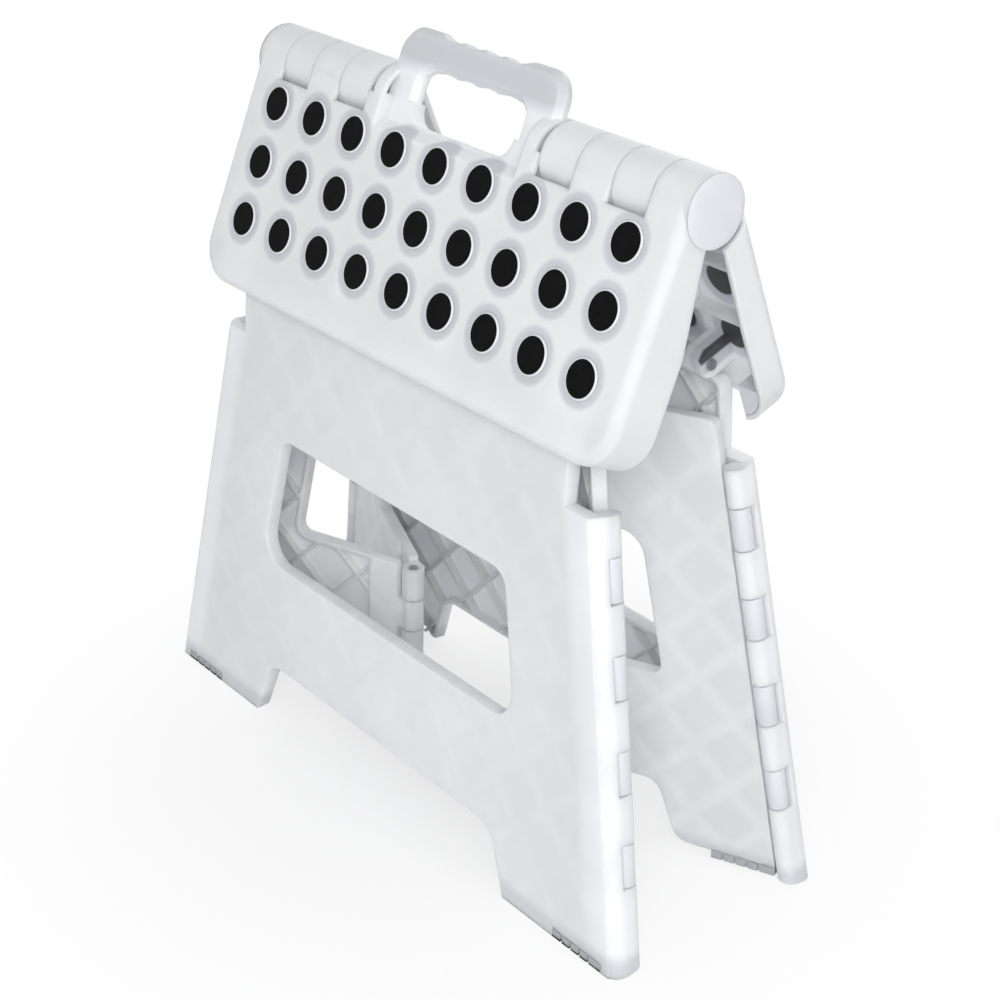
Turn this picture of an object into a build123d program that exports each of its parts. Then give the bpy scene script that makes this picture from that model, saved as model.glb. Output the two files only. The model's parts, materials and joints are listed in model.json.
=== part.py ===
from build123d import *
import os
from math import acos, asin, atan2, ceil, cos, hypot, radians, sin, tan

# Pose of the drawing: the stool stands half folded.
fold_angle = 22.0          # tilt of each seat half away from upright, degrees

# Linkage
hinge_reach = 89.0         # ridge axis to leg hinge, along a seat half
hinge_height = 241.0       # leg hinge above the floor when fully open
apex_reach = 480.0         # leg hinge to the point where all end hinge lines meet
corner_start = 126.0       # corner hinge line from the middle, at leg hinge level
corner_lean = 0.20         # outward lean of the corner hinge line

# Seat halves
seat_length = 300.0
seat_reach = 113.0         # ridge axis to the outer long edge
ridge_depth = 15.5         # seat top above the ridge axis, and knuckle radius
seat_skin = 2.5
seat_corner = 20.0         # plan radius of the outer corners
seat_edge = 5.0            # rounding between top and sides
lip_depth = 3.8            # rim depth along the long edge over the leg
lip_half = 136.0           # half length of the shallow lip
front_rim = 25.0           # rim depth at the ends of the front half
rear_rim = 17.0            # rim depth at the ends of the rear half
rim_start = 8.0            # where the end rims begin to deepen, from the ridge axis
rim_full = 60.0            # where the end rims reach full depth
seat_rib = 1.8
seat_rib_depth = 7.0

# Grip dots
dot_radius = 8.1
dot_pitch = 31.0
row_pitch = 28.6
dot_centre = 51.0          # middle row from the ridge axis
dot_columns = 9
dot_rows = 3
dot_proud = 0.8
dot_sides = 12

# Hidden hinge faces are many sided
barrel_sides = 8
bore_sides = 8

# Ridge hinge
ridge_inner = 60.0         # innermost end of the knuckle run
ridge_knuckles = 4         # knuckles on each side, front and rear in turn
ridge_gap = 1.2
ridge_pin = 2.5
ridge_boss = 7.5
ridge_play = 3.4           # free room of the rear knuckles round the ridge pins
pin_fit = 0.05

# Carrying handle
handle_half = 57.0
handle_top = 33.2          # above the ridge axis
handle_corner = 13.0
handle_front = 9.0         # handle faces, measured from the hinge plane
handle_back = 0.5
handle_edge = 3.0
grip_height = 17.6
grip_half = 36.0           # half width of the finger opening
grip_bottom = 9.5          # bottom of the finger opening below the ridge axis
grip_top_round = 7.0
grip_bottom_round = 9.0
finger_pitch = 14.3
finger_sink = 1.4          # crests of the finger waves below the ends of the handle
finger_depth = 1.4
finger_under = 0.9         # waves along the underside of the grip
finger_count = 4
scoop_half = 50.0          # half width of the scoop in front of the finger opening
scoop_start = 11.0         # scoop level with the handle face down to here, below the ridge axis
scoop_end = 15.5           # scoop back up to the seat top here
notch_gap = 2.0            # rear notch beside the handle
notch_depth = 37.0
notch_round = 8.0

# Leg hinge
leg_barrel = 6.5
leg_pin = 2.5
leg_pitch = 76.0           # between leg knuckles
leg_knuckle = 50.0
leg_knuckles = 3
lug_width = 12.0

# Leg panels
leg_face = 12.0            # outer face from the hinge plane
panel_skin = 2.5
panel_wall = 2.5
panel_rib = 1.6
rib_pitch = 25.5           # between the diagonal ribs
plate_top = 9.0            # top of the panel below the leg hinge
neck_half = 121.0          # half width of the neck under the seat
shoulder = 43.5            # top of the corner columns below the leg hinge
shoulder_round = 5.0
window_top = 88.0
window_bottom = 158.0
window_top_half = 86.5
window_bottom_half = 101.0
window_top_round = 10.0
window_bottom_round = 14.0
arch_top = 215.0
arch_top_half = 90.0
arch_top_round = 14.0
foot_inner = 107.0
foot_round = 9.0

# Corner hinges
column_radius = 5.0        # round back of the column, level with the panel rims
column_nose = 8.0          # rounding of its outer front edge
column_web = 14.0          # overlap of the column onto the panel
corner_pin = 1.5
corner_knuckle = 3.2
corner_first = 62.0        # first end panel knuckle below the leg hinge
corner_pitch = 42.0
corner_length = 19.0
corner_count = 4
corner_gap = 0.6           # end gap between knuckles, and running gap round them

# End panels, two halves at each end
end_outer = 2.0            # outer face from the plane of the hinge lines
end_inner = 4.5            # inner edge of the rims from that plane
end_top = 24.0             # levels along the corner line below the leg hinge
end_window_top = 86.0
end_window_bottom = 157.0
end_arch_top = 215.0
end_strip = 49.0           # width of the strip beside the window
end_foot = 55.0            # width of the foot
end_arch = 60.0            # width beside the top of the arch
end_round = 10.0
end_foot_lift = 0.4
mid_knuckle = 6.0
mid_pin = 2.0
mid_gap = 1.0              # gap between one half and the knuckles of the other
mid_end_gap = 0.8
mid_inset = 2.0            # knuckle run in from the edges of the arms
mid_step = 24.0            # outer face steps back near the middle hinge
mid_play = 0.6             # free room of the left rear knuckles round their pins

# Foot pads
pad_height = 4.0
pad_length = 32.0          # from the column along the foot
pad_groove = 1.2
pad_groove_depth = 0.8
pad_groove_pitch = 6.0

# Derived sizes
fold = radians(fold_angle)
lean_open = asin(hinge_reach / apex_reach)
lean_rest = asin(hinge_reach * sin(fold) / apex_reach)
slope = hypot(1, corner_lean)
corner_reach = apex_reach * slope
spread = asin(sin(lean_open) / slope)
foot_v = (hinge_height + leg_face * sin(lean_open)) / cos(lean_open)
hinge_y = hinge_reach * sin(fold)
hinge_z = foot_v * cos(lean_rest) - leg_face * sin(lean_rest)
ridge_z = hinge_z + hinge_reach * cos(fold)
apex_z = hinge_z + apex_reach * cos(lean_rest)
apex_x = corner_start - corner_lean * apex_reach
apex_open = hinge_height + apex_reach * cos(lean_open)
floor_g = apex_open * hypot(corner_lean, cos(lean_open)) / cos(lean_open)
leg_back = column_radius
half = seat_length / 2
skin_under = ridge_depth - seat_skin
knuckle_pitch = (half - ridge_inner) / ridge_knuckles
ridge_pocket = ridge_depth + ridge_play


def prism(face, low, high):
    """Extrude a flat outline between two heights above its plane."""
    return Pos(0, 0, low) * extrude(face, high - low)


def along_x(face, start, stop):
    """Extrude a side profile, drawn as up-slope and outward, along the length."""
    return Pos(start, 0, 0) * extrude(Plane.YZ * face, stop - start)


def outline(corners):
    """Closed outline through corners given as x, distance down and radius."""
    points = [(x, -down) for x, down, radius in corners]
    radii = [radius for x, down, radius in corners]
    return make_face(FilletPolyline(points, radius=radii, close=True))


def both_sides(corners):
    """Outline from the corners of its right side, top to bottom, and their mirror images."""
    left = [(-x, down, radius) for x, down, radius in reversed(corners)]
    return outline(corners + left)


def lattice(face):
    """Diagonal ribs both ways, clipped to an outline."""
    box = face.bounding_box()
    centre = box.center()
    reach = hypot(box.size.X, box.size.Y)
    count = ceil(reach / rib_pitch / 2)
    bars = []
    for turn in (45, -45):
        for step in range(-count, count + 1):
            bar = Pos(0, step * rib_pitch) * Rectangle(reach, panel_rib)
            bars.append(Pos(centre.X, centre.Y) * Rot(0, 0, turn) * bar)
    return (Sketch() + bars) & face


def dot_places(notched):
    """Centres of the grip dots, without those that would fall in the handle notch."""
    across = [dot_pitch * (i - (dot_columns - 1) / 2) for i in range(dot_columns)]
    down = [dot_centre + row_pitch * (i - (dot_rows - 1) / 2) for i in range(dot_rows)]
    places = [(x, d) for x in across for d in down]
    margin = dot_radius + seat_skin
    beside = handle_half + notch_gap + margin
    clear = [(x, d) for x, d in places if abs(x) > beside or d > notch_depth + margin]
    return clear if notched else places


def ridge_range(index):
    """Start and stop of one ridge knuckle on the right, counted from the outer end."""
    stop = half - index * knuckle_pitch
    return stop - knuckle_pitch + ridge_gap, stop


def barrel(radius):
    """Section of a hinge knuckle that other pieces hide."""
    return RegularPolygon(radius, barrel_sides)


def bore(radius):
    """Section of a pin hole, with flats at the given radius."""
    return RegularPolygon(radius, bore_sides, major_radius=False)


def ridge_knuckle(index):
    """One ridge knuckle, hollow round its pin boss and open at its inner end."""
    start, stop = ridge_range(index)
    hollow = barrel(skin_under) - barrel(ridge_boss)
    return along_x(Circle(ridge_depth), start, stop) - along_x(hollow, start, stop - seat_skin)


def pocket(index):
    """Room in one seat half for a knuckle of the other."""
    start, stop = ridge_range(index)
    return along_x(Circle(ridge_pocket), start - ridge_gap, stop + ridge_gap)


def two_ends(solid):
    """A solid of the right end together with its mirror image at the left end."""
    return [solid, mirror(solid, about=Plane.YZ)]


def seat_shell(rim):
    """Skin, rims, ribs and hinge lugs common to both seat halves."""
    plan = both_sides([(half, ridge_gap, 0), (half, seat_reach, seat_corner)])
    shell = prism(plan, ridge_depth - rim, ridge_depth)
    rim_edges = [e for e in shell.edges().filter_by_position(Axis.Z, ridge_depth, ridge_depth)
                 if e.center().Y < -2 * ridge_gap]
    shell = fillet(rim_edges, seat_edge)
    inside = both_sides([(half - seat_skin, -seat_skin, 0),
                         (half - seat_skin, seat_reach - seat_skin, seat_corner - seat_skin)])
    shell -= prism(inside, -2 * rim, skin_under)
    lip = Pos(0, -seat_reach) * Rectangle(2 * lip_half, 4 * seat_skin)
    shell -= prism(lip, -2 * rim, ridge_depth - lip_depth)
    low = ridge_depth - rim
    taper = make_face(Polyline((0, low - seat_skin), (-rim_full, low - seat_skin), (-rim_full, low),
                               (-rim_start, 0), (0, 0), close=True))
    shell -= along_x(taper, -half, half)
    ribs = []
    rib_reach = dot_centre + row_pitch / 2
    for step in range(dot_columns - 1):
        x = dot_pitch * (step - (dot_columns - 2) / 2)
        ribs.append(Pos(x, -rib_reach / 2) * Rectangle(seat_rib, rib_reach))
    for side in (-1, 1):
        ribs.append(Pos(0, -dot_centre - side * row_pitch / 2) * Rectangle(seat_length - seat_skin, seat_rib))
    shell += prism(Sketch() + ribs, skin_under - seat_rib_depth, skin_under)
    return shell


def seat_lugs():
    """Lugs that carry the leg pin, set between the leg knuckles."""
    lug = Pos(-hinge_reach, 0) * barrel(leg_barrel)
    lug += Pos(-hinge_reach, skin_under / 2) * Rectangle(2 * leg_barrel, skin_under)
    lug -= Pos(-hinge_reach, 0) * bore(leg_pin + pin_fit)
    lugs = []
    for step in range(leg_knuckles + 1):
        x = leg_pitch * (step - leg_knuckles / 2)
        lugs.append(along_x(lug, x - lug_width / 2, x + lug_width / 2))
    return lugs


def grip_opening():
    """Outline of the finger opening."""
    return both_sides([(grip_half, grip_height - handle_top, grip_top_round),
                       (grip_half, grip_bottom, grip_bottom_round)])


def wave_cut(edge, depth, side):
    """Row of shallow finger waves reaching into a long edge of the handle from one side."""
    radius = finger_pitch ** 2 / (8 * depth) + depth / 2
    waves = []
    for step in range(finger_count):
        x = finger_pitch * (step - (finger_count - 1) / 2)
        waves.append(Pos(x, edge + side * (radius - depth)) * Circle(radius))
    band = Pos(0, edge) * Rectangle(2 * grip_half, 2 * handle_edge)
    return prism((Sketch() + waves) & band, -handle_front, 2 * handle_front)


def handle():
    """Carrying handle with softened edges and finger waves above and below the grip."""
    plan = both_sides([(handle_half, -handle_top, handle_corner), (handle_half, scoop_end, 0)])
    plate = prism(plan - grip_opening(), handle_back, handle_front)
    rims = [e for e in plate.edges() if abs(e.center().Z - handle_front) < pin_fit
            or abs(e.center().Z - handle_back) < pin_fit]
    plate = chamfer([e for e in rims if e.center().Y > -scoop_end + pin_fit], handle_edge)
    plate -= wave_cut(handle_top - finger_sink, finger_depth, 1)
    return plate - wave_cut(handle_top - grip_height, finger_under, -1)


def scooped(seat):
    """Front seat half with a solid sill scooped back to the handle face round the finger opening."""
    low = scoop_end + seat_skin
    sill = Pos(-low / 2, (handle_back + ridge_depth) / 2) * Rectangle(low, ridge_depth - handle_back)
    seat += along_x(sill, -scoop_half - seat_skin, scoop_half + seat_skin)
    above = 2 * handle_top
    scoop = make_face(Polyline((above, handle_front), (-scoop_start, handle_front), (-scoop_end, ridge_depth),
                               (-scoop_end, 2 * ridge_depth), (above, 2 * ridge_depth), close=True))
    seat -= along_x(scoop, -scoop_half, scoop_half)
    return seat - prism(grip_opening(), -2 * ridge_depth, 2 * ridge_depth)


def front_seat():
    """Front seat half with the handle and the first of each pair of ridge knuckles."""
    seat = seat_shell(front_rim)
    tube = Circle(ridge_depth) - Circle(skin_under)
    tube &= Pos(ridge_depth - 2 * ridge_gap, ridge_depth / 2) * Rectangle(2 * ridge_depth, 2 * ridge_depth)
    seat += two_ends(along_x(tube, scoop_half, handle_half))
    for index in range(1, ridge_knuckles, 2):
        seat -= two_ends(pocket(index))
    for index in range(0, ridge_knuckles, 2):
        seat += two_ends(ridge_knuckle(index))
    seat -= two_ends(along_x(bore(ridge_pin + pin_fit), ridge_inner, half))
    seat += seat_lugs()
    return scooped(seat) + handle()


def rear_seat():
    """Rear seat half with the handle notch and the other ridge knuckles."""
    seat = seat_shell(rear_rim)
    notch = both_sides([(handle_half + notch_gap, -ridge_depth, 0),
                        (handle_half + notch_gap, notch_depth, notch_round)])
    seat -= prism(notch, -2 * ridge_depth, 2 * ridge_depth)
    for index in range(0, ridge_knuckles, 2):
        seat -= two_ends(pocket(index))
    for index in range(1, ridge_knuckles, 2):
        seat += two_ends(ridge_knuckle(index))
    seat -= two_ends(along_x(bore(ridge_pin + ridge_play), ridge_inner, half))
    return seat + seat_lugs()


def grip_dots(notched):
    """Rubber dots bonded to the top of one seat half."""
    dot = prism(RegularPolygon(dot_radius, dot_sides), ridge_depth, ridge_depth + dot_proud)
    return [Pos(x, -down, 0) * dot for x, down in dot_places(notched)]


def corner_x(down):
    """Corner hinge line from the middle of a leg panel at a distance below the leg hinge."""
    return corner_start + corner_lean * down


def corner_frame():
    """Frame on the right corner line of a leg panel, z down the line, y outward."""
    return Plane(origin=(corner_start, 0, 0), x_dir=(1 / slope, corner_lean / slope, 0),
                 z_dir=(corner_lean / slope, -1 / slope, 0))


def corner_ranges():
    """Start and stop of each end panel knuckle along the corner line."""
    starts = [corner_first + corner_pitch * step for step in range(corner_count)]
    return [(start * slope, (start + corner_length) * slope) for start in starts]


def floor_cut(lift):
    """Everything under a plane that lies flat on the floor when the stool is open."""
    level = (hinge_height - lift) / cos(lean_open)
    plane = Plane(origin=(0, -level, 0), x_dir=(1, 0, 0), z_dir=(0, -cos(lean_open), -sin(lean_open)))
    return plane.location * Box(2 * seat_length, seat_length, seat_length,
                                align=(Align.CENTER, Align.CENTER, Align.MIN))


def foot_line(lift):
    """Distance below the leg hinge where the outer face meets the lifted floor plane."""
    return (hinge_height - lift + leg_face * sin(lean_open)) / cos(lean_open)


def leg_column():
    """Rounded column along the right corner line with slots for the end panel knuckles."""
    profile = outline([(-column_web, -leg_back, 0),
                       (-column_web, -leg_face, 0),
                       (column_radius, -leg_face, column_nose),
                       (column_radius, 0, 0),
                       (-column_radius, 0, 0),
                       (-column_radius, -leg_back, 0)])
    stop = (foot_line(0) + leg_face) * slope
    column = prism(profile + Circle(column_radius), shoulder * slope, stop)
    slot = Pos(0, leg_back - 2 * column_web) * Rectangle(4 * column_web, 4 * column_web)
    for start, end in corner_ranges():
        column -= prism(slot, start - corner_gap, end + corner_gap)
    return corner_frame().location * column


def leg_plan():
    """Outer outline of a leg panel, arch included."""
    bottom = foot_line(0) + leg_face
    return both_sides([(neck_half, plate_top, shoulder_round),
                       (neck_half, shoulder, 0),
                       (corner_x(shoulder), shoulder, 0),
                       (corner_x(bottom), bottom, 0),
                       (foot_inner, bottom, 0),
                       (arch_top_half, arch_top, arch_top_round)])


def leg_window():
    """Outline of the window in a leg panel."""
    return both_sides([(window_top_half, window_top, window_top_round),
                       (window_bottom_half, window_bottom, window_bottom_round)])


def ribbed(plate, inner, skin_low, skin_high, rib_end):
    """Skin over a whole plate with rims and diagonal ribs on one side of it."""
    ribs = (plate - inner) + lattice(inner)
    low = min(skin_low, rib_end)
    high = max(skin_high, rib_end)
    return prism(plate, skin_low, skin_high) + prism(ribs, low, high)


def leg_hinge():
    """Knuckles at the top of a leg panel, joined down to its rim."""
    web = make_face(Polyline((0, leg_barrel), (-plate_top, leg_face), (-plate_top - panel_wall, leg_face),
                             (-plate_top - panel_wall, leg_back), (0, -leg_barrel), close=True))
    knuckle = barrel(leg_barrel) + web - bore(leg_pin + pin_fit)
    knuckles = []
    for step in range(leg_knuckles):
        x = leg_pitch * (step - (leg_knuckles - 1) / 2)
        knuckles.append(along_x(knuckle, x - leg_knuckle / 2, x + leg_knuckle / 2))
    return knuckles


def leg():
    """Leg panel with window, arch, ribs, corner columns and hinge knuckles."""
    plate = leg_plan() - leg_window()
    inner = offset(leg_plan(), -panel_wall) - offset(leg_window(), panel_wall)
    panel = ribbed(plate, inner, leg_face - panel_skin, leg_face, leg_back)
    panel += two_ends(leg_column())
    panel += leg_hinge()
    panel -= two_ends(corner_frame().location * prism(bore(corner_pin + pin_fit), 0, 2 * hinge_height))
    panel -= floor_cut(0)
    return panel - two_ends(pad_block(False))


def pad_block(grooved):
    """Rubber pad under the right foot of a leg panel, or the room for it."""
    stop = corner_x(foot_line(pad_height)) - column_radius
    start = stop - pad_length
    plan = Pos((start + stop) / 2, -foot_line(0)) * Rectangle(stop - start, 4 * leg_face)
    block = prism(plan, leg_back, leg_face) & floor_cut(pad_height)
    block -= floor_cut(0)
    if grooved:
        count = int((stop - start) / pad_groove_pitch)
        for step in range(1, count):
            x = start + step * pad_groove_pitch
            groove = Pos(x, -foot_line(0)) * Rectangle(pad_groove, 4 * leg_face)
            block -= prism(groove, leg_face - pad_groove_depth, leg_face + pad_groove_depth)
    return block


def corner_g(down):
    """Distance down the middle line at the level of a point on the corner line."""
    return (corner_reach + down) * cos(spread)


def corner_h(g, inset):
    """Distance from the middle line to a line beside the corner line."""
    return g * tan(spread) - inset / cos(spread)


def end_plan():
    """C shaped outline of one end panel half, x from the middle line to the corner."""
    top = corner_g(end_top)
    window = corner_g(end_window_top)
    sill = corner_g(end_window_bottom)
    arch = corner_g(end_arch_top)
    floor = floor_g - end_foot_lift - pad_height
    edge = column_radius + corner_gap
    start = mid_knuckle + mid_gap
    return outline([(start, top, 0),
                    (corner_h(top, edge), top, shoulder_round),
                    (corner_h(floor, edge), floor, 0),
                    (corner_h(floor, end_foot), floor, foot_round),
                    (corner_h(arch, end_arch), arch, end_round),
                    (start, arch, 0),
                    (start, sill, 0),
                    (corner_h(sill, end_strip), sill, shoulder_round),
                    (corner_h(window, end_strip), window, window_bottom_round),
                    (start, window, 0)])


def mid_arms():
    """Start and stop of the two arms of an end panel half along the middle line."""
    return [(corner_g(end_top) + mid_inset, corner_g(end_window_top) - mid_inset),
            (corner_g(end_window_bottom) + mid_inset, corner_g(end_arch_top) - mid_inset)]


def mid_ranges(front):
    """Knuckle stretches of one half along the middle line, three to each arm in turn."""
    stretches = []
    for number, (first, last) in enumerate(mid_arms()):
        step = (last - first) / 3
        outer = front == (number == 0)
        for place in ((0, 2) if outer else (1,)):
            low = first + step * place
            stretches.append((low + mid_end_gap / 2, low + step - mid_end_gap / 2))
    return stretches


def down_bar(face, start, stop):
    """Extrude a cross section down the middle line of an end panel."""
    frame = Plane(origin=(0, 0, 0), x_dir=(1, 0, 0), z_dir=(0, -1, 0))
    return frame.location * prism(face, start, stop)


def end_corner_frame():
    """Frame on the corner line of an end panel half, z down the line from the apex."""
    return Plane(origin=(0, 0, 0), x_dir=(cos(spread), sin(spread), 0), z_dir=(sin(spread), -cos(spread), 0))


def end_half(front, hole):
    """One half of a folding end panel, drawn with the apex as origin."""
    plan = end_plan()
    inner = offset(plan, -panel_wall)
    panel = ribbed(plan, inner, -end_outer, panel_skin - end_outer, end_inner)
    near = Pos(mid_step / 2, -floor_g / 2) * Rectangle(mid_step, floor_g)
    panel += prism(plan & near, 0, end_inner)
    panel -= prism(near, -2 * end_outer, 0)
    reach = mid_knuckle + mid_gap + panel_wall
    web = Pos(reach / 2, end_inner / 2) * Rectangle(reach, end_inner)
    for start, stop in mid_ranges(front):
        panel += down_bar(barrel(mid_knuckle) + web, start, stop)
    panel -= down_bar(bore(hole), 0, floor_g)
    reach = column_radius + corner_gap + panel_wall
    arm = Pos(-reach / 2, corner_knuckle / 2) * Rectangle(reach, corner_knuckle)
    knuckle = barrel(corner_knuckle) + arm - bore(corner_pin + pin_fit)
    for start, stop in corner_ranges():
        panel += end_corner_frame().location * prism(knuckle, corner_reach + start, corner_reach + stop)
    return panel


def end_pad():
    """Rubber pad under the foot of an end panel half."""
    floor = floor_g - end_foot_lift
    stop = corner_h(floor - pad_height, column_radius + corner_gap)
    start = stop - pad_length
    plan = Pos((start + stop) / 2, pad_height / 2 - floor) * Rectangle(stop - start, pad_height)
    pad = prism(plan, -end_outer, end_inner)
    count = int((stop - start) / pad_groove_pitch)
    for step in range(1, count):
        groove = Pos(start + step * pad_groove_pitch, -floor) * Rectangle(pad_groove, 4 * pad_height)
        pad -= prism(groove, -2 * end_outer, pad_groove_depth - end_outer)
    return pad


def rod(frame, radius, start, stop):
    """Round pin along the z axis of a frame."""
    return frame.location * prism(Circle(radius), start, stop)


def seat_frame():
    """Frame of the front seat half on the ridge axis, y up the slope, z outward."""
    return Plane(origin=(0, 0, ridge_z), x_dir=(1, 0, 0), z_dir=(0, -cos(fold), sin(fold)))


def leg_frame():
    """Frame of the front leg panel on its hinge axis, y up the panel, z outward."""
    return Plane(origin=(0, -hinge_y, hinge_z), x_dir=(1, 0, 0), z_dir=(0, -cos(lean_rest), sin(lean_rest)))


def end_frame():
    """Frame of the right front end half at its apex, x to the corner, y up, z inward."""
    corner = Vector(corner_lean, -sin(lean_rest), -cos(lean_rest)) / slope
    turn = atan2(corner_lean, cos(lean_rest))
    swing = acos(cos(spread) * slope / hypot(corner_lean, cos(lean_rest)))
    middle = Vector(sin(turn - swing), 0, -cos(turn - swing))
    across = (corner - middle * corner.dot(middle)).normalized()
    return Plane(origin=(apex_x, 0, apex_z), x_dir=across, z_dir=across.cross(middle * -1))


def placed(frame, solids):
    """Move solids from a panel frame into the drawn pose."""
    return [frame.location * solid for solid in solids]


def rear(solids):
    """Mirror solids from the front to the rear."""
    return [mirror(solid, about=Plane.XZ) for solid in solids]


def left(solids):
    """Mirror solids from the right to the left."""
    return [mirror(solid, about=Plane.YZ) for solid in solids]


x_frame = Plane(origin=(0, 0, 0), x_dir=(0, 1, 0), z_dir=(1, 0, 0))
y_frame = Plane(origin=(0, 0, 0), x_dir=(1, 0, 0), z_dir=(0, -1, 0))
ridge_pins = placed(seat_frame(), [rod(x_frame, ridge_pin, ridge_inner + ridge_gap, half)])
leg_pins = placed(leg_frame(), [rod(x_frame, leg_pin, -neck_half, neck_half)])
corner_stop = (foot_line(pad_height) - corner_gap) * slope
corner_pins = placed(leg_frame(), [rod(corner_frame(), corner_pin, shoulder * slope, corner_stop)])
mid_rods = [rod(y_frame, mid_pin, first, last) for first, last in mid_arms()]
mid_pins = placed(end_frame(), mid_rods)
leg_solid = placed(leg_frame(), [leg()])
leg_pads = placed(leg_frame(), two_ends(pad_block(True)))
front_half = placed(end_frame(), [end_half(True, mid_pin + pin_fit)])
rear_half = placed(end_frame(), [end_half(False, mid_pin + pin_fit)])
left_rear_half = placed(end_frame(), [end_half(False, mid_pin + mid_play)])
pad = placed(end_frame(), [end_pad()])

nodes = {
    "front_seat": placed(seat_frame(), [front_seat()]),
    "rear_seat": rear(placed(seat_frame(), [rear_seat()])),
    "front_grip_dots": placed(seat_frame(), grip_dots(False)),
    "rear_grip_dots": rear(placed(seat_frame(), grip_dots(True))),
    "ridge_pin_right": ridge_pins,
    "ridge_pin_left": left(ridge_pins),
    "front_leg": leg_solid,
    "rear_leg": rear(leg_solid),
    "front_leg_pin": leg_pins,
    "rear_leg_pin": rear(leg_pins),
    "front_leg_pads": leg_pads,
    "rear_leg_pads": rear(leg_pads),
    "right_front_corner_pin": corner_pins,
    "right_rear_corner_pin": rear(corner_pins),
    "left_front_corner_pin": left(corner_pins),
    "left_rear_corner_pin": left(rear(corner_pins)),
    "right_front_panel": front_half,
    "right_rear_panel": rear(rear_half),
    "left_front_panel": left(front_half),
    "left_rear_panel": left(rear(left_rear_half)),
    "right_mid_pins": mid_pins,
    "left_mid_pins": left(mid_pins),
    "right_front_pad": pad,
    "right_rear_pad": rear(pad),
    "left_front_pad": left(pad),
    "left_rear_pad": left(rear(pad)),
}

os.makedirs("parts", exist_ok=True)
for name, solids in nodes.items():
    export_step(Compound(children=[s for solid in solids for s in solid.solids()]), f"parts/{name}.step")
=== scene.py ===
import json
import bmesh
import bpy
from math import acos, cos, pi, radians, sin
from mathutils import Matrix, Vector


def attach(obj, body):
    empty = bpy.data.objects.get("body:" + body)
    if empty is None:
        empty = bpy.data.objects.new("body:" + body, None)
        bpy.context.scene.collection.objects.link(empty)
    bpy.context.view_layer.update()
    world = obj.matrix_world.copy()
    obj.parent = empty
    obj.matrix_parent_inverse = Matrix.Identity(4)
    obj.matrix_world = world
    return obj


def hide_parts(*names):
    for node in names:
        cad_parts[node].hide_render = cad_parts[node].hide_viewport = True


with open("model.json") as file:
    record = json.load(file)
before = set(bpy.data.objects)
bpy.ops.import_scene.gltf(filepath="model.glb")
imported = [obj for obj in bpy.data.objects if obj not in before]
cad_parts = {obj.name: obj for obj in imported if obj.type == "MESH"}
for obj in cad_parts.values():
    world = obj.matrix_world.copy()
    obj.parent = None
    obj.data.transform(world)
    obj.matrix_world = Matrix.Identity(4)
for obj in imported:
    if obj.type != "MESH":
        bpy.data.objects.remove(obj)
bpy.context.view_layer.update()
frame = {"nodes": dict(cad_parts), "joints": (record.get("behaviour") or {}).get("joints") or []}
nodes = frame["nodes"]
joints = {joint["name"]: joint for joint in frame["joints"]}

MM = 0.001
EDGE_SOFT = 0.8 * MM
X_SIDES = {"right": 1, "left": -1}

# How far light spreads inside the milky plastic, in millimetres, and its tones.
PANEL_GLOW = 7.0
CAP_GLOW = 0.15
PANEL_TONES = ("eeeef1", "f4f4f6")
CAP_TONES = ("e0e0e4", "e6e6ea")

# Seat halves, with distances down the slope from the ridge axis.
SEAT_TILT = radians(22.0)
HINGE_REACH = 89.0 * MM
SEAT_HALF = 150.0 * MM
SEAT_TOP = 15.5 * MM
# Heights above the ridge axis over which painted shade greys the handle.
HANDLE_SHADE_LOW = 15.0 * MM
HANDLE_SHADE_HIGH = HANDLE_SHADE_LOW + 6.0 * MM
SEAT_SIDES = {"front": -1, "rear": 1}
HINGE = Vector(joints["rear_seat_hinge"]["pos_m"])
RIDGE = Vector((0, 0, HINGE.z + HINGE_REACH * cos(SEAT_TILT)))

# Grip dots and their rings, with profiles of radius and height in millimetres.
DOT_RADIUS = 8.1 * MM
DOT_PITCH = 31.0 * MM
ROW_PITCH = 28.6 * MM
DOT_CENTRE = 51.0 * MM
DOT_COLUMNS = 9
DOT_ROWS = 3
NOTCH_COLUMNS = 2
DOT_STEPS = 48
# Radii of the painted shade for the boss round each dot and of the dark disc of painted shade under it.
BOSS_EDGE = DOT_RADIUS + 3.0 * MM
BOSS_FADE = DOT_RADIUS + 5.8 * MM
DISC_EDGE = DOT_RADIUS - 1.0 * MM
DOT_PROFILE = [(0.0, 0.6), (5.6, 0.63), (7.4, 0.7), (7.9, 0.66), (8.1, 0.5), (8.1, 0.0)]
RING_PROFILE = [(8.1, 0.0), (8.1, 0.66), (8.25, 0.78), (8.5, 0.66), (8.75, 0.3), (8.9, 0.0)]

# Moulded caps over the ends of the hinge pins, as radius and height in millimetres.
RIDGE_CAP = [(0.0, 1.0), (9.0, 1.0), (12.5, 0.9), (14.2, 0.6), (15.1, 0.25), (15.5, 0.0)]
COLUMN_CAP = [(0.0, 0.5), (2.6, 0.5), (3.8, 0.4), (4.6, 0.15), (4.9, 0.0)]
SHARP_EDGE = radians(40)
CORNER_START = 126.0 * MM
COLUMN_TOP = 44.36 * MM

# Round knuckles of the end panels in the slots of the columns, along the corner lines.
KNUCKLE_FIRST = 63.23 * MM
KNUCKLE_PITCH = 42.83 * MM
KNUCKLE_COUNT = 4
KNUCKLE_PROFILE = [(0.0, 19.38), (4.5, 19.38), (4.8, 19.0), (4.8, 0.38), (4.5, 0.0)]

# Solid corners of the seat rims, in millimetres in the plane of each half.
CORNER_CENTRE = Vector((130.0, 93.0))
CORNER_RADIUS = 18.0
CORNER_INNER = 136.0
CORNER_TOP = 13.5
CORNER_STEPS = 12
RIM_LOW = {"front": -9.3, "rear": -1.3}
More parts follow.
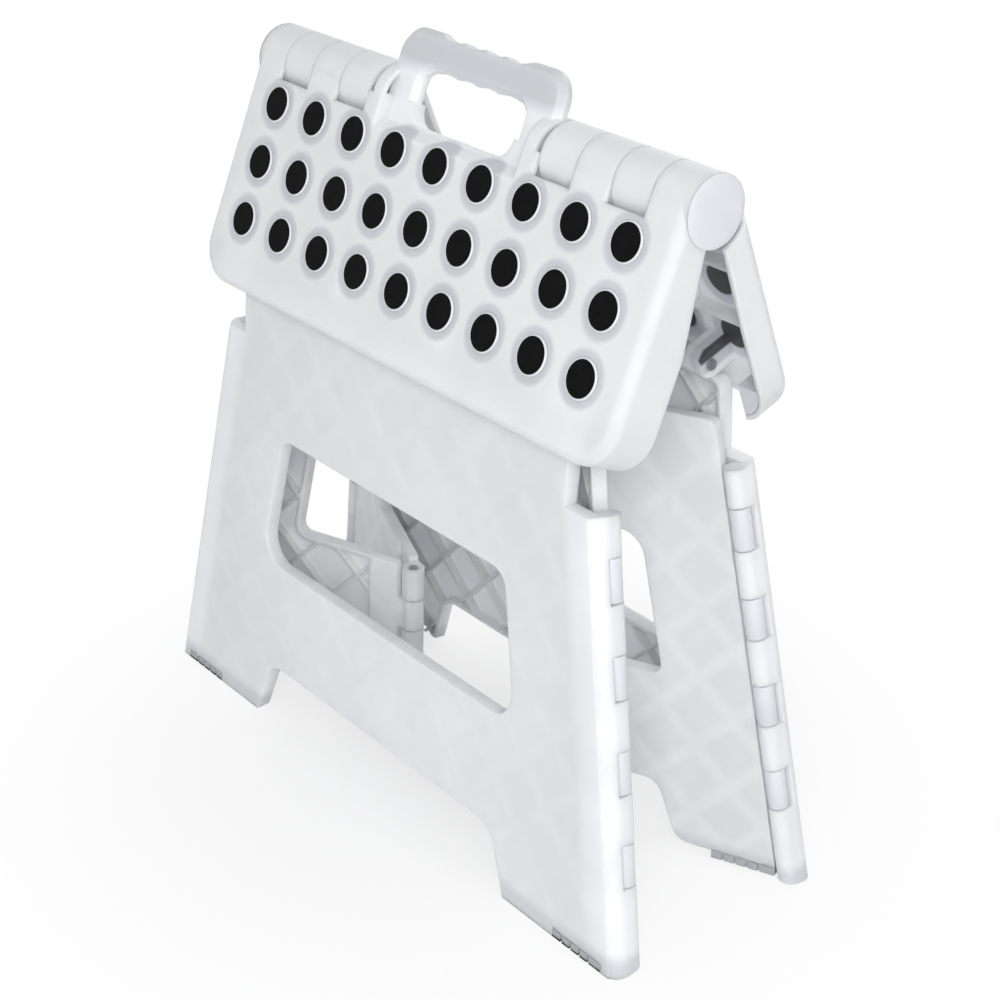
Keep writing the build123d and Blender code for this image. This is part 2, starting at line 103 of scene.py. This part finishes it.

# Diagonal ribs behind the skin of the legs and end panels, shown on the skin by painted shade in the pockets
# between them.
RIB_PITCH = 25.5 * MM
LEG_RIB_CENTRE = 134.26 * MM
END_RIB_CENTRE = Vector((67.45 * MM, 613.92 * MM))
COLUMN_EDGE = 110.0 * MM
COLUMN_LEAN = 0.20
RIB_LINE = 0.5 * MM
RIB_FADE = 5.5 * MM
LEG_RIB_SHOW = 0.07
END_RIB_SHOW = 0.17

# Heights between which painted shade greys the feet near the floor, and the band of painted shade that keeps
# the foot strips black where they meet the floor.
FOOT_SHADE_FULL = 5.0 * MM
FOOT_SHADE_END = 13.0 * MM
STRIP_BLACK = 1.2 * MM
STRIP_GREY = 2.2 * MM


def linear(text):
    """Linear colour with alpha from an sRGB hex string."""
    parts = [int(text[i:i + 2], 16) / 255 for i in (0, 2, 4)]
    return [p / 12.92 if p <= 0.04045 else ((p + 0.055) / 1.055) ** 2.4 for p in parts] + [1.0]


def feed(tree, socket, value):
    """Join a node or an output to a socket, or set a plain value on it."""
    if isinstance(value, bpy.types.Node):
        value = value.outputs[0]
    if isinstance(value, bpy.types.NodeSocket):
        tree.links.new(value, socket)
    else:
        socket.default_value = value


def add(tree, kind, inputs=None, **settings):
    """Add one node with its settings, its inputs fed from nodes, outputs or plain values."""
    node = tree.nodes.new("ShaderNode" + kind)
    for key, value in settings.items():
        setattr(node, key, value)
    for key, value in (inputs or {}).items():
        feed(tree, node.inputs[key], value)
    return node


def new_material(name):
    """New node material: its tree and its principled shader."""
    mat = bpy.data.materials.new(name)
    mat.use_nodes = True
    return mat, mat.node_tree, mat.node_tree.nodes["Principled BSDF"]


def moulded_grain(tree, bsdf, place, grain_mm, height_mm, smooth, rough):
    """Uneven roughness and a light bump of the mould's texture."""
    noise = add(tree, "TexNoise", {"Vector": place, "Scale": 1 / (grain_mm * MM), "Detail": 3.0})
    spread = add(tree, "MapRange", {"Value": noise, "To Min": smooth, "To Max": rough})
    bump = add(tree, "Bump", {"Height": noise, "Distance": height_mm * MM})
    feed(tree, bsdf.inputs["Roughness"], spread)
    feed(tree, bsdf.inputs["Normal"], bump)
    return bump


def softened_edges(tree, bump):
    """Edges rounded as the mould leaves them, under the grain."""
    feed(tree, bump.inputs["Normal"], add(tree, "Bevel", {"Radius": EDGE_SOFT}, samples=4))


def polypropylene(name, glow_mm=PANEL_GLOW, tones=PANEL_TONES):
    """Injection moulded natural polypropylene: milky, waxy and a little uneven in depth.

    Its grain is drawn coarser than the real mould's, which is too fine to show.
    """
    mat, tree, bsdf = new_material(name)
    place = add(tree, "TexCoord").outputs["Object"]
    bump = moulded_grain(tree, bsdf, place, 1.2, 0.01, 0.4, 0.52)
    if glow_mm == PANEL_GLOW:
        softened_edges(tree, bump)
    cloud = add(tree, "TexNoise", {"Vector": place, "Scale": 1 / (34 * MM), "Detail": 2.0})
    depth = add(tree, "MapRange", {"Value": cloud, "From Min": 0.35, "From Max": 0.65})
    tone = add(tree, "Mix", {0: depth, 6: linear(tones[0]), 7: linear(tones[1])}, data_type="RGBA")
    feed(tree, bsdf.inputs["Base Color"], tone.outputs[2])
    feed(tree, bsdf.inputs["Subsurface Weight"], 0.85)
    feed(tree, bsdf.inputs["Subsurface Radius"], (1.0, 1.0, 1.08))
    feed(tree, bsdf.inputs["Subsurface Scale"], glow_mm * MM)
    feed(tree, bsdf.inputs["IOR"], 1.49)
    return mat, tree, bsdf, place, tone.outputs[2]


def ribbed_polypropylene(name, centre, across, down, show, leg):
    """The same plastic, with painted shade in the pockets between the diagonal ribs behind it, so that the
    ribs show as paler lines.
    """
    mat, tree, bsdf, place, tone = polypropylene(name)
    from_centre = add(tree, "VectorMath", {0: place, 1: centre}, operation="SUBTRACT")
    lines = []
    for diagonal in ((across + down).normalized(), (across - down).normalized()):
        run = add(tree, "VectorMath", {0: from_centre, 1: diagonal}, operation="DOT_PRODUCT").outputs["Value"]
        away = add(tree, "Math", {0: run, 1: RIB_PITCH / 2}, operation="PINGPONG")
        lines.append(add(tree, "MapRange", {"Value": away, "From Min": RIB_LINE, "From Max": RIB_FADE},
                         interpolation_type="SMOOTHSTEP"))
    # Painted shade in the pockets between the ribs, towards c4c5cb, so the ribs read as paler lines.
    pocket_shade = add(tree, "Math", {0: lines[0], 1: lines[1]}, operation="MULTIPLY")
    shade = add(tree, "Math", {0: pocket_shade, 1: show}, operation="MULTIPLY")
    if leg:
        run = add(tree, "VectorMath", {0: from_centre, 1: across}, operation="DOT_PRODUCT").outputs["Value"]
        fall = add(tree, "VectorMath", {0: from_centre, 1: down}, operation="DOT_PRODUCT").outputs["Value"]
        wide = add(tree, "Math", {0: run}, operation="ABSOLUTE")
        lean = add(tree, "Math", {0: fall, 1: -COLUMN_LEAN, 2: wide}, operation="MULTIPLY_ADD")
        limit = COLUMN_EDGE + COLUMN_LEAN * LEG_RIB_CENTRE
        inside = add(tree, "Math", {0: lean, 1: limit}, operation="LESS_THAN")
        shade = add(tree, "Math", {0: shade, 1: inside}, operation="MULTIPLY")
    ribbed = add(tree, "Mix", {0: shade, 6: tone, 7: linear("c4c5cb")}, data_type="RGBA")
    # Painted shade greys the feet towards b9babf close to the floor, fading out higher up.
    height = add(tree, "SeparateXYZ", {0: place}).outputs["Z"]
    foot = add(tree, "MapRange", {"Value": height, "From Min": FOOT_SHADE_FULL, "From Max": FOOT_SHADE_END,
                                  "To Min": 0.55, "To Max": 0.0}, interpolation_type="SMOOTHSTEP")
    foot_shaded = add(tree, "Mix", {0: foot, 6: ribbed.outputs[2], 7: linear("b9babf")}, data_type="RGBA")
    feed(tree, bsdf.inputs["Base Color"], foot_shaded.outputs[2])
    return mat


def seat_slope(side):
    """Direction down the slope of a seat half, away from the ridge."""
    return Vector((0, side * sin(SEAT_TILT), -cos(SEAT_TILT)))


def seat_normal(side):
    """Direction out of the top of a seat half."""
    return Vector((0, side * cos(SEAT_TILT), sin(SEAT_TILT)))


def seat_polypropylene(name, side):
    """The same plastic with a painted grey shade for the boss round each dot, a dark disc of painted shade
    under each dot and painted shade that greys the handle.
    """
    mat, tree, bsdf, place, tone = polypropylene(name)
    slope = seat_slope(side)
    from_ridge = add(tree, "VectorMath", {0: place, 1: RIDGE}, operation="SUBTRACT")
    down = add(tree, "VectorMath", {0: from_ridge, 1: slope}, operation="DOT_PRODUCT").outputs["Value"]
    across = add(tree, "SeparateXYZ", {0: place}).outputs["X"]
    row = add(tree, "Math", {0: down, 1: DOT_CENTRE}, operation="SUBTRACT")
    near_row = add(tree, "Math", {0: row, 1: ROW_PITCH / 2}, operation="PINGPONG")
    near_column = add(tree, "Math", {0: across, 1: DOT_PITCH / 2}, operation="PINGPONG")
    spot = add(tree, "CombineXYZ", {0: near_row, 1: near_column})
    reach = add(tree, "VectorMath", {0: spot}, operation="LENGTH").outputs["Value"]
    row_size = add(tree, "Math", {0: row}, operation="ABSOLUTE")
    in_rows = add(tree, "Math", {0: row_size, 1: ROW_PITCH * DOT_ROWS / 2}, operation="LESS_THAN")
    column_size = add(tree, "Math", {0: across}, operation="ABSOLUTE")
    in_columns = add(tree, "Math", {0: column_size, 1: DOT_PITCH * DOT_COLUMNS / 2}, operation="LESS_THAN")
    field = add(tree, "Math", {0: in_rows, 1: in_columns}, operation="MULTIPLY")
    if side > 0:
        below = add(tree, "Math", {0: row, 1: -ROW_PITCH / 2}, operation="GREATER_THAN")
        notch = DOT_PITCH * (NOTCH_COLUMNS + 0.5)
        beside = add(tree, "Math", {0: column_size, 1: notch}, operation="GREATER_THAN")
        dotted_part = add(tree, "Math", {0: below, 1: beside}, operation="MAXIMUM")
        field = add(tree, "Math", {0: field, 1: dotted_part}, operation="MULTIPLY")
    # Painted shade: a grey ring round each dot for the boss behind the skin.
    boss = add(tree, "MapRange", {"Value": reach, "From Min": BOSS_EDGE, "From Max": BOSS_FADE,
                                  "To Min": 0.6, "To Max": 0.0}, interpolation_type="SMOOTHSTEP")
    boss_shade_here = add(tree, "Math", {0: boss, 1: field}, operation="MULTIPLY")
    boss_shaded = add(tree, "Mix", {0: boss_shade_here, 6: tone, 7: linear("b6b7be")}, data_type="RGBA")
    # A dark disc of painted shade under each dot, on both faces of the skin.
    disc = add(tree, "MapRange", {"Value": reach, "From Min": DISC_EDGE, "From Max": DOT_RADIUS,
                                  "To Min": 0.92, "To Max": 0.0})
    disc_shade_here = add(tree, "Math", {0: disc, 1: field}, operation="MULTIPLY")
    dotted = add(tree, "Mix", {0: disc_shade_here, 6: boss_shaded.outputs[2], 7: linear("2e2e32")}, data_type="RGBA")
    # Painted shade greys the handle towards c6c7ca, from 15 mm above the ridge axis upwards.
    height = add(tree, "SeparateXYZ", {0: from_ridge}).outputs["Z"]
    handle = add(tree, "MapRange", {"Value": height, "From Min": HANDLE_SHADE_LOW, "From Max": HANDLE_SHADE_HIGH,
                                    "To Max": 0.8})
    handle_shaded = add(tree, "Mix", {0: handle, 6: dotted.outputs[2], 7: linear("c6c7ca")}, data_type="RGBA")
    feed(tree, bsdf.inputs["Base Color"], handle_shaded.outputs[2])
    return mat


def dot_rubber(name):
    """Moulded black rubber: matt, close to black, with a faint dusty bloom."""
    mat, tree, bsdf = new_material(name)
    place = add(tree, "TexCoord").outputs["Object"]
    moulded_grain(tree, bsdf, place, 0.7, 0.03, 0.55, 0.75)
    bloom = add(tree, "TexNoise", {"Vector": place, "Scale": 1 / (5 * MM), "Detail": 4.0})
    depth = add(tree, "MapRange", {"Value": bloom, "From Min": 0.4, "From Max": 0.75})
    tone = add(tree, "Mix", {0: depth, 6: linear("050506"), 7: linear("0c0c0e")}, data_type="RGBA")
    feed(tree, bsdf.inputs["Base Color"], tone.outputs[2])
    feed(tree, bsdf.inputs["Specular IOR Level"], 0.07)
    return mat


def foot_rubber(name):
    """Rubber foot strip: grey, with painted shade making it black in a band where it meets the floor."""
    mat, tree, bsdf = new_material(name)
    place = add(tree, "TexCoord").outputs["Object"]
    moulded_grain(tree, bsdf, place, 0.8, 0.03, 0.55, 0.75)
    height = add(tree, "SeparateXYZ", {0: place}).outputs["Z"]
    # Painted shade: black up to about 1.2 mm over the floor, fading to the strip's grey by 2.2 mm, its edge
    # wobbled by noise.
    edge_wobble = add(tree, "TexNoise", {"Vector": place, "Scale": 1 / (7 * MM), "Detail": 3.0})
    drift = add(tree, "Math", {0: edge_wobble, 1: STRIP_BLACK, 2: height}, operation="MULTIPLY_ADD")
    band = add(tree, "MapRange", {"Value": drift, "From Min": STRIP_BLACK, "From Max": STRIP_GREY})
    tone = add(tree, "Mix", {0: band, 6: linear("1a1a1c"), 7: linear("adaeb2")}, data_type="RGBA")
    feed(tree, bsdf.inputs["Base Color"], tone.outputs[2])
    feed(tree, bsdf.inputs["Specular IOR Level"], 0.25)
    return mat


def drawn_steel(name):
    """Drawn steel wire: bright, with fine streaks left by the die."""
    mat, tree, bsdf = new_material(name)
    place = add(tree, "TexCoord").outputs["Object"]
    moulded_grain(tree, bsdf, place, 0.5, 0.01, 0.28, 0.42)
    streak = add(tree, "TexNoise", {"Vector": place, "Scale": 1 / (2 * MM), "Detail": 2.0})
    tone = add(tree, "Mix", {0: streak, 6: linear("a8a9ad"), 7: linear("c9cacd")}, data_type="RGBA")
    feed(tree, bsdf.inputs["Base Color"], tone.outputs[2])
    feed(tree, bsdf.inputs["Metallic"], 1.0)
    return mat


def mirrored(vector, x_side, y_side):
    """A vector of the right rear quarter moved to another quarter."""
    return Vector((vector.x * x_side, vector.y * y_side, vector.z))


def leg_finish(side):
    """Finish of one leg panel, its ribs laid out from the leg hinge."""
    corner = Vector(joints["right_rear_corner"]["axis"])
    down = Vector((0, corner.y * side, corner.z)).normalized()
    centre = mirrored(HINGE, 1, side) + down * LEG_RIB_CENTRE
    return ribbed_polypropylene("leg_polypropylene", centre, Vector((1, 0, 0)), down, LEG_RIB_SHOW, True)


def end_finish(x_side, y_side):
    """Finish of one end panel half, its ribs laid out from the point where its hinge lines meet."""
    corner = Vector(joints["right_rear_corner"]["axis"])
    middle = Vector(joints["right_middle"]["axis"])
    gap = Vector(joints["right_rear_corner"]["pos_m"]) - Vector(joints["right_middle"]["pos_m"])
    apex = Vector(joints["right_rear_corner"]["pos_m"]) - corner * (gap.y / corner.y)
    across = (corner - middle * corner.dot(middle)).normalized()
    centre = apex + across * END_RIB_CENTRE.x + middle * END_RIB_CENTRE.y
    quarter = [mirrored(v, x_side, y_side) for v in (centre, across, middle)]
    return ribbed_polypropylene("end_polypropylene", *quarter, END_RIB_SHOW, False)


plain_plastic = polypropylene("cap_polypropylene", CAP_GLOW, CAP_TONES)[0]
black_rubber = dot_rubber("dot_rubber")
grey_rubber = foot_rubber("foot_rubber")
steel = drawn_steel("drawn_steel")
finishes = {"front_leg": leg_finish(-1), "rear_leg": leg_finish(1)}
for x_name, x_side in X_SIDES.items():
    for y_name, y_side in SEAT_SIDES.items():
        finishes[f"{x_name}_{y_name}_panel"] = end_finish(x_side, y_side)
for end, side in SEAT_SIDES.items():
    finishes[end + "_seat"] = seat_polypropylene(end + "_seat_polypropylene", side)


def finish_for(name):
    """Finish of a CAD node from what it is."""
    if "pin" in name:
        return steel
    if "pad" in name:
        return grey_rubber
    return finishes.get(name, black_rubber)


for name, obj in nodes.items():
    obj.data.materials.clear()
    obj.data.materials.append(finish_for(name))


def turned(mesh, profile, at):
    """Turn a profile of radius and height in millimetres round the z axis of a matrix."""
    rings = []
    for radius, height in profile:
        steps = DOT_STEPS if radius else 1
        ring = []
        for step in range(steps):
            angle = 2 * pi * step / steps
            spot = Vector((radius * cos(angle), radius * sin(angle), height)) * MM
            ring.append(mesh.verts.new(at @ spot))
        rings.append(ring)
    for low, high in zip(rings, rings[1:]):
        for step in range(DOT_STEPS):
            after = (step + 1) % DOT_STEPS
            if len(low) == 1:
                mesh.faces.new((low[0], high[step], high[after]))
            else:
                mesh.faces.new((low[step], high[step], high[after], low[after]))
    if len(rings[0]) > 1:
        for step in range(DOT_STEPS):
            after = (step + 1) % DOT_STEPS
            mesh.faces.new((rings[-1][step], rings[0][step], rings[0][after], rings[-1][after]))
    else:
        mesh.faces.new(list(reversed(rings[-1])))


def riding_piece(name, mesh, finish, body):
    """One smooth piece from a mesh, riding on a body."""
    bmesh.ops.recalc_face_normals(mesh, faces=mesh.faces)
    data = bpy.data.meshes.new(name)
    mesh.to_mesh(data)
    mesh.free()
    data.shade_smooth()
    data.set_sharp_from_angle(angle=SHARP_EDGE)
    data.materials.append(finish)
    piece = bpy.data.objects.new(name, data)
    bpy.context.scene.collection.objects.link(piece)
    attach(piece, body)
    return piece


def turned_piece(name, profile, places, finish, body):
    """One piece of turned shapes."""
    mesh = bmesh.new()
    for at in places:
        turned(mesh, profile, at)
    return riding_piece(name, mesh, finish, body)


def facing(place, axis):
    """Matrix at a place with z along an axis."""
    return Matrix.Translation(place) @ Vector(axis).to_track_quat("Z", "Y").to_matrix().to_4x4()


def dot_places(side):
    """Matrices of the grip dots on one seat half, without those in the rear handle notch."""
    slope = seat_slope(side)
    normal = seat_normal(side)
    places = []
    for row in range(DOT_ROWS):
        for step in range(DOT_COLUMNS):
            column = step - (DOT_COLUMNS - 1) / 2
            if side > 0 and row == 0 and abs(column) <= NOTCH_COLUMNS:
                continue
            down = DOT_CENTRE + ROW_PITCH * (row - (DOT_ROWS - 1) / 2)
            place = RIDGE + Vector((DOT_PITCH * column, 0, 0)) + slope * down + normal * SEAT_TOP
            places.append(facing(place, normal))
    return places


# Round grip dots with the thin raised ring that the seat has round each of them.
for end, side in SEAT_SIDES.items():
    places = dot_places(side)
    dots = turned_piece(end + "_dots", DOT_PROFILE, places, black_rubber, end + "_seat")
    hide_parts(end + "_grip_dots")
    turned_piece(end + "_dot_rings", RING_PROFILE, places, plain_plastic, end + "_seat")


# Moulded caps over the ends of the ridge and corner pins, and the knuckles between the columns' slots.
ridge_ends = [facing(RIDGE + Vector((x * SEAT_HALF, 0, 0)), (x, 0, 0)) for x in (-1, 1)]
turned_piece("ridge_pin_caps", RIDGE_CAP, ridge_ends, plain_plastic, "front_seat")
corner_axis = Vector(joints["right_rear_corner"]["axis"])
for end, side in SEAT_SIDES.items():
    tops = []
    for x_name, x in X_SIDES.items():
        axis = mirrored(corner_axis, x, side)
        start = mirrored(HINGE + Vector((CORNER_START, 0, 0)), x, side)
        tops.append(facing(start + axis * COLUMN_TOP, -axis))
        steps = [KNUCKLE_FIRST + KNUCKLE_PITCH * step for step in range(KNUCKLE_COUNT)]
        places = [facing(start + axis * step, axis) for step in steps]
        body = f"{x_name}_{end}_end"
        turned_piece(body + "_knuckles", KNUCKLE_PROFILE, places, plain_plastic, body)
    turned_piece(end + "_column_caps", COLUMN_CAP, tops, plain_plastic, end + "_leg")


def rim_corners(end, side):
    """Both lower corners of a seat half, filled solid behind the rounded rim."""
    slope = seat_slope(side)
    normal = seat_normal(side)
    last = acos((CORNER_INNER - CORNER_CENTRE.x) / CORNER_RADIUS)
    turns = [last * step / CORNER_STEPS for step in range(CORNER_STEPS + 1)]
    plan = [CORNER_CENTRE + Vector((cos(turn), sin(turn))) * CORNER_RADIUS for turn in turns]
    plan.append(Vector((CORNER_INNER, CORNER_CENTRE.y)))
    mesh = bmesh.new()
    for x in (-1, 1):
        layers = []
        for level in (RIM_LOW[end], CORNER_TOP):
            spots = [RIDGE + (Vector((x * p.x, 0, 0)) + slope * p.y + normal * level) * MM for p in plan]
            layers.append([mesh.verts.new(spot) for spot in spots])
        low, high = layers
        mesh.faces.new(low)
        mesh.faces.new(high)
        for step in range(len(plan)):
            mesh.faces.new((low[step - 1], low[step], high[step], high[step - 1]))
    riding_piece(end + "_rim_corners", mesh, plain_plastic, end + "_seat")


for end, side in SEAT_SIDES.items():
    rim_corners(end, side)


def seen_directly(tree):
    """Factor that is 1 for what the eye sees, straight or through a reflection or glass."""
    ray = add(tree, "LightPath")
    seen = add(tree, "Math", {0: ray.outputs["Is Camera Ray"], 1: ray.outputs["Is Glossy Ray"]},
               operation="MAXIMUM")
    return add(tree, "Math", {0: seen, 1: ray.outputs["Is Transmission Ray"]}, operation="MAXIMUM")


# Plain pale floor that turns to clean white away from the stool.
FLOOR_SIZE = 12.0
SHADOW_REACH = 0.3
SHADOW_WHITE = 0.6
floor_mat, floor_tree, floor_bsdf = new_material("pale_floor")
feed(floor_tree, floor_bsdf.inputs["Base Color"], linear("f5f5f6"))
feed(floor_tree, floor_bsdf.inputs["Roughness"], 0.8)
feed(floor_tree, floor_bsdf.inputs["Specular IOR Level"], 0.1)
spot = add(floor_tree, "TexCoord").outputs["Object"]
away = add(floor_tree, "VectorMath", {0: spot}, operation="LENGTH").outputs["Value"]
clear = add(floor_tree, "MapRange", {"Value": away, "From Max": SHADOW_REACH, "To Min": SHADOW_WHITE},
            interpolation_type="SMOOTHSTEP")
white = add(floor_tree, "Emission", {"Color": linear("ffffff"), "Strength": 1.0})
open_white = add(floor_tree, "Math", {0: clear, 1: seen_directly(floor_tree)}, operation="MULTIPLY")
surface = add(floor_tree, "MixShader", {0: open_white, 1: floor_bsdf, 2: white})
feed(floor_tree, floor_tree.nodes["Material Output"].inputs["Surface"], surface)
bpy.ops.mesh.primitive_plane_add(size=FLOOR_SIZE, location=(0, 0, 0))
floor = bpy.context.object
floor.name = "floor"
floor.data.materials.append(floor_mat)

# Even studio light all round, white where the eye meets it.
world = bpy.data.worlds.new("studio")
world.use_nodes = True
sky = world.node_tree
even = sky.nodes["Background"]
feed(sky, even.inputs["Color"], linear("f6f8fc"))
feed(sky, even.inputs["Strength"], 0.5)
white_sky = add(sky, "Background", {"Color": linear("ffffff"), "Strength": 1.0})
studio = add(sky, "MixShader", {0: seen_directly(sky), 1: even, 2: white_sky})
feed(sky, sky.nodes["World Output"].inputs["Surface"], studio)
bpy.context.scene.world = world


LAMP_AIM = Vector((0, 0, 0.2))


def soft_lamp(name, place, size, power):
    """Soft square lamp aimed at the middle of the stool."""
    data = bpy.data.lights.new(name, "AREA")
    data.size = size
    data.energy = power
    obj = bpy.data.objects.new(name, data)
    obj.location = place
    aim = LAMP_AIM - Vector(place)
    obj.rotation_euler = aim.to_track_quat("-Z", "Y").to_euler()
    bpy.context.scene.collection.objects.link(obj)


soft_lamp("front_lamp", (1.25, -1.0, 0.95), 0.9, 16.5)
soft_lamp("side_lamp", (2.1, -0.6, 0.7), 1.4, 1.5)
soft_lamp("fill_lamp", (-1.5, -1.8, 0.9), 1.6, 2)
soft_lamp("top_lamp", (0.0, 0.3, 2.4), 1.6, 1.5)
soft_lamp("back_lamp", (-0.7, 1.7, 1.0), 1.4, 9)

# Camera at the angle of the photograph.
camera_data = bpy.data.cameras.new("camera")
camera_data.lens = 73.62
camera_data.sensor_width = 36.0
camera_data.clip_start = 0.01
camera = bpy.data.objects.new("camera", camera_data)
right = Vector((0.630044, 0.776424, 0.014507))
up = Vector((-0.353659, 0.270252, 0.895483))
back = Vector((0.691353, -0.569324, 0.44486))
turn = Matrix((right, up, back)).transposed().to_4x4()
camera.matrix_world = Matrix.Translation((0.686171, -0.548254, 0.580721)) @ turn
bpy.context.scene.collection.objects.link(camera)
bpy.context.scene.camera = camera
bpy.context.scene.view_settings.view_transform = "Standard"
